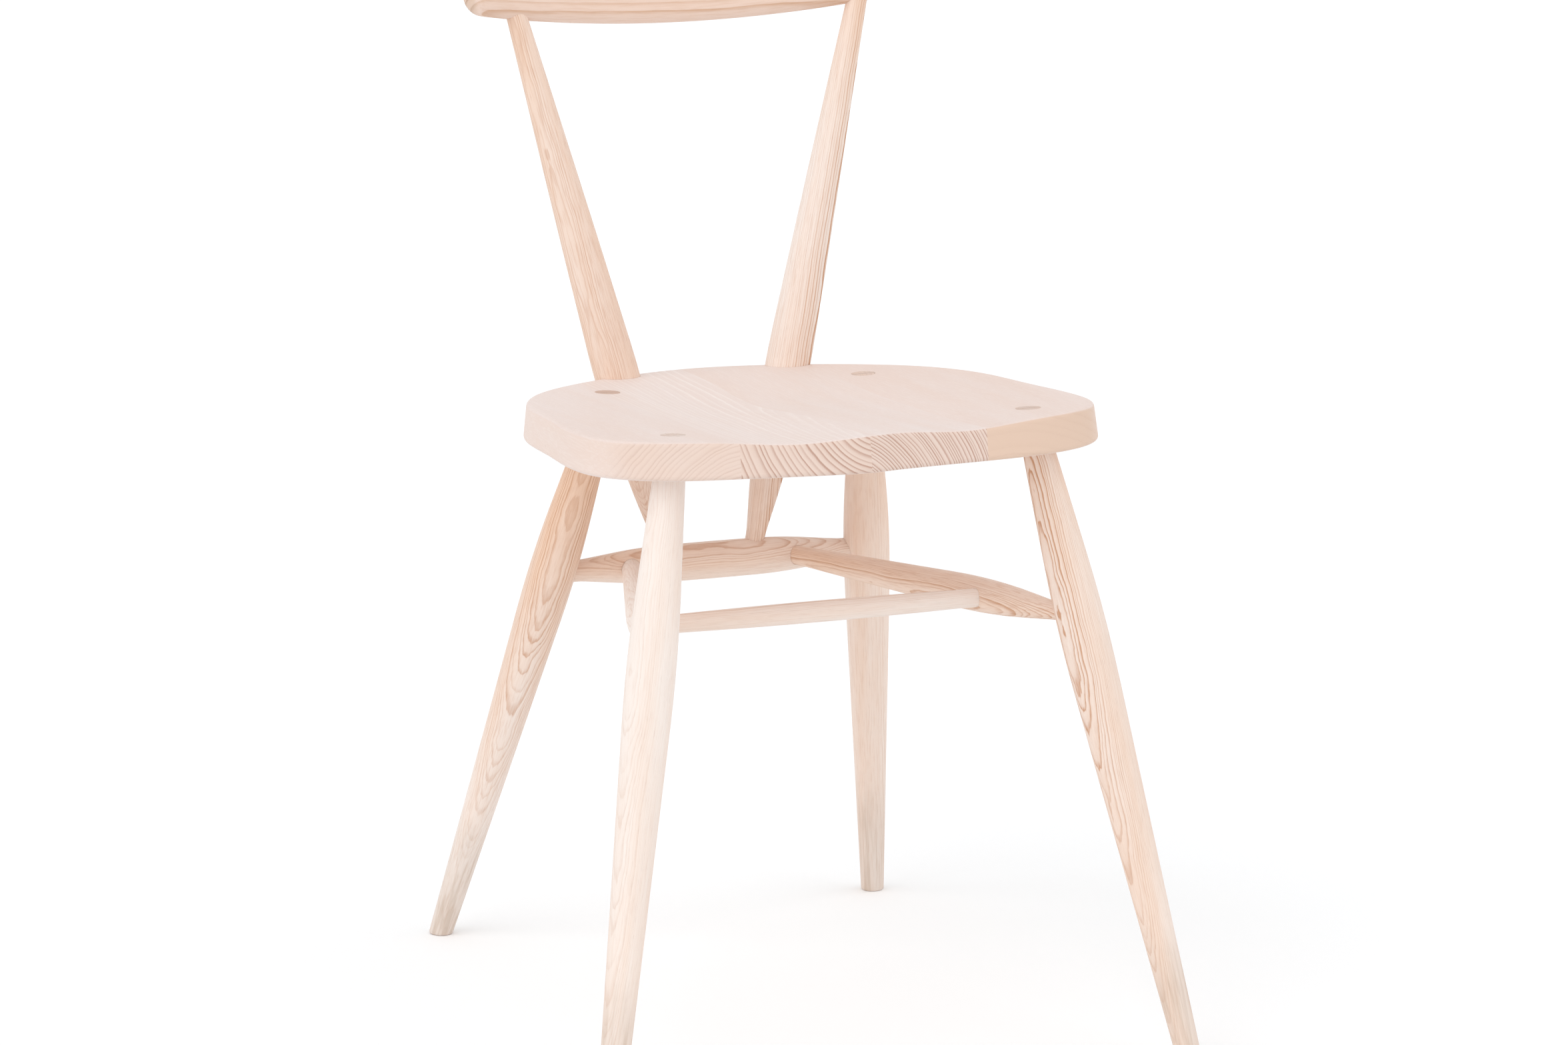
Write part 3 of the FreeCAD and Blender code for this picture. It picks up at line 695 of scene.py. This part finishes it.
class FinishFixings(bpy.types.Operator):
    """Wood of the wedges and plugs, and steel of the screws"""
    bl_idname = "windsor.finish_fixings"
    bl_label = "Finish Fixings"

    def execute(self, context):
        finish = settings("fixings")
        for node, log in FIXING_LOGS.items():
            grain = BACK if node == "screw_plugs" else UP
            finish_node(node, wood_material(node, log, middle(node), grain, finish))
        finish_node("stick_screws", steel_material("stick_screws", finish))
        return {"FINISHED"}


# Stage

def make_floor(stage):
    """Square matt floor, which the camera sees a little whiter than the light makes it."""
    half = stage.floor_size / 2
    mesh = bpy.data.meshes.new("floor")
    mesh.from_pydata([(-half, -half, 0), (half, -half, 0), (half, half, 0), (-half, half, 0)],
                     [], [(0, 1, 2, 3)])
    floor = bpy.data.objects.new("floor", mesh)
    bpy.context.scene.collection.objects.link(floor)
    material = bpy.data.materials.new("floor")
    tree = empty_tree(material)
    matt = put(tree, "ShaderNodeBsdfDiffuse", (*stage.floor, 1.0))
    glow = put(tree, "ShaderNodeEmission", WHITE, stage.floor_lift)
    seen = put(tree, "ShaderNodeLightPath").outputs["Is Camera Ray"]
    nothing = put(tree, "ShaderNodeEmission", BLACK, 0.0)
    lift = put(tree, "ShaderNodeMixShader", seen, nothing.outputs[0], glow.outputs[0])
    both = put(tree, "ShaderNodeAddShader", matt.outputs[0], lift.outputs[0])
    put(tree, "ShaderNodeOutputMaterial", both.outputs[0])
    mesh.materials.append(material)


def make_world(stage):
    """Even light from all round, in front of a white background."""
    world = bpy.data.worlds.new("studio")
    bpy.context.scene.world = world
    tree = empty_tree(world)
    even = put(tree, "ShaderNodeBackground", WHITE, stage.surround)
    white = put(tree, "ShaderNodeBackground", WHITE, 1.0)
    path = put(tree, "ShaderNodeLightPath").outputs
    seen = maths(tree, "MAXIMUM", path["Is Camera Ray"], path["Is Glossy Ray"])
    mixed = put(tree, "ShaderNodeMixShader", seen, even.outputs[0], white.outputs[0])
    put(tree, "ShaderNodeOutputWorld", mixed.outputs[0])


def direction(turn, height):
    """From the chair, a turn to the right of its front and an angle above level."""
    level = math.cos(height)
    return Vector((math.sin(turn) * level, -math.cos(turn) * level, math.sin(height)))


def make_light(name, strength, turn, stage):
    """Soft, even light from a turn to the right of the chair's front, as from a wide window."""
    lamp = bpy.data.lights.new(name, "SUN")
    lamp.energy = strength
    lamp.angle = stage.light_softness
    light = bpy.data.objects.new(name, lamp)
    towards = direction(turn, stage.light_height)
    light.rotation_euler = (-towards).to_track_quat("-Z", "Y").to_euler()
    bpy.context.scene.collection.objects.link(light)


def make_camera(stage):
    """Camera at the stage's angles and distance from the point that it looks at."""
    back = direction(stage.azimuth, stage.elevation)
    right = Vector((math.cos(stage.azimuth), math.sin(stage.azimuth), 0.0))
    up = back.cross(right)
    tilted = right * math.cos(stage.roll) + up * math.sin(stage.roll)
    turn = Matrix((tilted, back.cross(tilted), back)).transposed()
    data = bpy.data.cameras.new("camera")
    data.lens = stage.lens
    data.shift_x, data.shift_y = CAMERA_SHIFT
    data.clip_end = CAMERA_REACH
    camera = bpy.data.objects.new("camera", data)
    place = Matrix.Translation(CAMERA_TARGET + back * stage.distance)
    camera.matrix_world = place @ turn.to_4x4()
    bpy.context.scene.collection.objects.link(camera)
    bpy.context.scene.camera = camera


class SetStage(bpy.types.Operator):
    """Pale floor, soft studio light and a camera at the chair's front left"""
    bl_idname = "windsor.set_stage"
    bl_label = "Set Stage"

    def execute(self, context):
        stage = settings("stage")
        make_floor(stage)
        make_world(stage)
        make_light("left_light", stage.left_strength, -stage.left_turn, stage)
        make_light("right_light", stage.right_strength, stage.right_turn, stage)
        make_camera(stage)
        context.scene.view_settings.view_transform = "Standard"
        return {"FINISHED"}


class WindsorPanel(bpy.types.Panel):
    """Sizes, colours and steps of the windsor chair"""
    bl_idname = "VIEW3D_PT_windsor_chair"
    bl_label = "Windsor Chair"
    bl_space_type = "VIEW_3D"
    bl_region_type = "UI"
    bl_category = "Windsor Chair"

    def draw(self, context):
        for name, group in SETTINGS.items():
            box = self.layout.box()
            box.label(text=name.title())
            for field in group.__annotations__:
                box.prop(settings(name), field)
        for operator in OPERATORS:
            self.layout.operator(operator.bl_idname)


# Add-on

SETTINGS = {"seat": SeatSettings, "turned": TurnedSettings, "rail": RailSettings,
            "fixings": FixingSettings, "stage": StageSettings}
OPERATORS = (SetStage, FinishSeat, FinishLegs, FinishStretchers, FinishSticks, FinishRail,
             FinishFixings)


def register():
    """Add the properties, operators and panel."""
    for group in SETTINGS.values():
        bpy.utils.register_class(group)
    for operator in OPERATORS:
        bpy.utils.register_class(operator)
    bpy.utils.register_class(WindsorPanel)
    for name, group in SETTINGS.items():
        setattr(bpy.types.Scene, "windsor_" + name, bpy.props.PointerProperty(type=group))


def unregister():
    """Take the panel, operators and properties away."""
    for name in SETTINGS:
        delattr(bpy.types.Scene, "windsor_" + name)
    bpy.utils.unregister_class(WindsorPanel)
    for operator in reversed(OPERATORS):
        bpy.utils.unregister_class(operator)
    for group in reversed(SETTINGS.values()):
        bpy.utils.unregister_class(group)


def main():
    """Run each step."""
    register()
    for operator in OPERATORS:
        area, step = operator.bl_idname.split(".")
        getattr(getattr(bpy.ops, area), step)()


if __name__ == "__main__":
    main()
